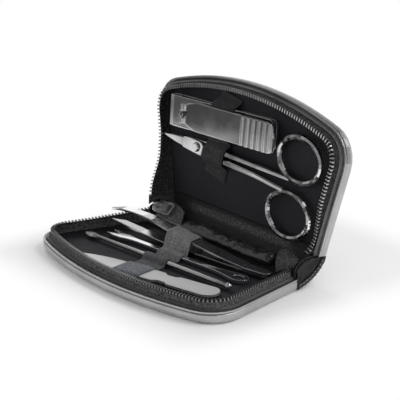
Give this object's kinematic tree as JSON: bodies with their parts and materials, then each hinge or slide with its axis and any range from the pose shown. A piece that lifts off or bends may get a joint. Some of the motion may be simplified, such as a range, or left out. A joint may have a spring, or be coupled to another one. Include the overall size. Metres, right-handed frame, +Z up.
{
  "type": "manicure set case",
  "caption": "Zipped clamshell manicure case, open, with scissors and clipper in the lid and tweezers, trimmer, ear pick and file in the base.",
  "frame": {"origin": "middle of the flat underside of the base half, on the table", "axes": "+X along the hinge to the right of a person facing the open case, +Y from the front towards the hinge and the lid, +Z up"},
  "size_m": [0.1062, 0.0732, 0.0641],
  "materials": {
    "satin_aluminium": "satin, brushed lightly",
    "black_pu_leather": "fine grain, slight sheen",
    "woven_zip_tape": "woven",
    "dark_zip_metal": "dark plated",
    "black_lining": "smooth, matte",
    "grey_elastic": "woven elastic",
    "bright_chrome": "polished",
    "matte_file_metal": "fine abrasive grain"
  },
  "bodies": {
    "base": {"base_shell": "satin_aluminium", "base_side_band": "black_pu_leather", "base_zip_tape": "woven_zip_tape", "base_zip_teeth": "dark_zip_metal", "base_lining": "black_lining", "base_elastic_band": "grey_elastic", "spine": "black_pu_leather", "hinge_cover": "black_pu_leather", "hinge_flap": "black_pu_leather", "left_gusset": "woven_zip_tape", "right_gusset": "woven_zip_tape", "left_end_panel": "black_pu_leather", "right_end_panel": "black_pu_leather", "zip_slider": "dark_zip_metal"},
    "lid": {"lid_shell": "satin_aluminium", "lid_side_band": "black_pu_leather", "lid_zip_tape": "woven_zip_tape", "lid_zip_teeth": "dark_zip_metal", "lid_lining": "black_lining", "lid_elastic_band": "grey_elastic"},
    "zip_tab": {"zip_tab": "dark_zip_metal"},
    "nail_file": {"nail_file": "matte_file_metal"},
    "ear_pick": {"ear_pick": "bright_chrome"},
    "cuticle_trimmer": {"cuticle_trimmer": "bright_chrome"},
    "tweezers": {"tweezers_lower_arm": "bright_chrome"},
    "tweezers_upper": {"tweezers_upper_arm": "bright_chrome"},
    "clipper": {"clipper_lower_blade": "bright_chrome"},
    "clipper_jaw": {"clipper_upper_blade": "bright_chrome"},
    "clipper_pin": {"clipper_pin": "bright_chrome"},
    "clipper_lever": {"clipper_lever": "bright_chrome"},
    "scissors": {"scissors_upper_half": "bright_chrome", "scissors_pivot": "bright_chrome"},
    "scissors_moving": {"scissors_lower_half": "bright_chrome"}
  },
  "joints": [
    {"name": "lid_hinge", "type": "hinge", "parent": "base", "child": "lid", "pos_m": [0, 0.03105, 0.0071], "axis": [-1, 0, 0], "range_deg": [-95.7, 59], "deforming": ["spine", "hinge_cover", "hinge_flap", "left_gusset", "right_gusset", "left_end_panel", "right_end_panel"]},
    {"name": "zip_tab_hinge", "type": "hinge", "parent": "base", "child": "zip_tab", "pos_m": [-0.041, 0.02909, 0.00956], "axis": [0, -0.7071, -0.7071], "range_deg": [-4, 160]},
    {"name": "nail_file_draw", "type": "slide", "parent": "base", "child": "nail_file", "axis": [0.6428, 0, 0.766], "range_m": [0, 0.045], "deforming": ["base_elastic_band"]},
    {"name": "ear_pick_draw", "type": "slide", "parent": "base", "child": "ear_pick", "axis": [0.6428, 0, 0.766], "range_m": [0, 0.045]},
    {"name": "cuticle_trimmer_draw", "type": "slide", "parent": "base", "child": "cuticle_trimmer", "axis": [0.6428, 0, 0.766], "range_m": [0, 0.045]},
    {"name": "tweezers_draw", "type": "slide", "parent": "base", "child": "tweezers", "axis": [0.6428, 0, 0.766], "range_m": [0, 0.045]},
    {"name": "tweezers_squeeze", "type": "hinge", "parent": "tweezers", "child": "tweezers_upper", "pos_m": [0.02462, 0.01961, 0.00556], "axis": [0.1347, -0.9909, 0], "range_deg": [0, 2.8], "stiffness_Nm_per_rad": 0.6},
    {"name": "clipper_draw", "type": "slide", "parent": "lid", "child": "clipper", "axis": [-0.6428, -0.7623, 0.0761], "range_m": [0, 0.045], "deforming": ["lid_elastic_band"]},
    {"name": "clipper_squeeze", "type": "hinge", "parent": "clipper", "child": "clipper_jaw", "pos_m": [0.01646, 0.04011, 0.04798], "axis": [0.0307, -0.0993, -0.9946], "range_deg": [0, 0.75], "stiffness_Nm_per_rad": 8},
    {"name": "clipper_pin_swivel", "type": "hinge", "parent": "clipper", "child": "clipper_pin", "pos_m": [-0.03159, 0.0413, 0.04638], "axis": [0, -0.9951, 0.0993], "range_deg": [0, 180]},
    {"name": "clipper_lever_tilt", "type": "hinge", "parent": "clipper_pin", "child": "clipper_lever", "pos_m": [-0.03159, 0.03483, 0.04702], "axis": [0.0307, -0.0993, -0.9946], "range_deg": [0, 35]},
    {"name": "scissors_draw", "type": "slide", "parent": "lid", "child": "scissors", "axis": [0.6428, -0.7623, 0.0761], "range_m": [0, 0.045]},
    {"name": "scissors_open", "type": "hinge", "parent": "scissors", "child": "scissors_moving", "pos_m": [-0.02536, 0.03785, 0.03495], "axis": [0, -0.9951, 0.0993], "range_deg": [0, 4]}
  ]
}
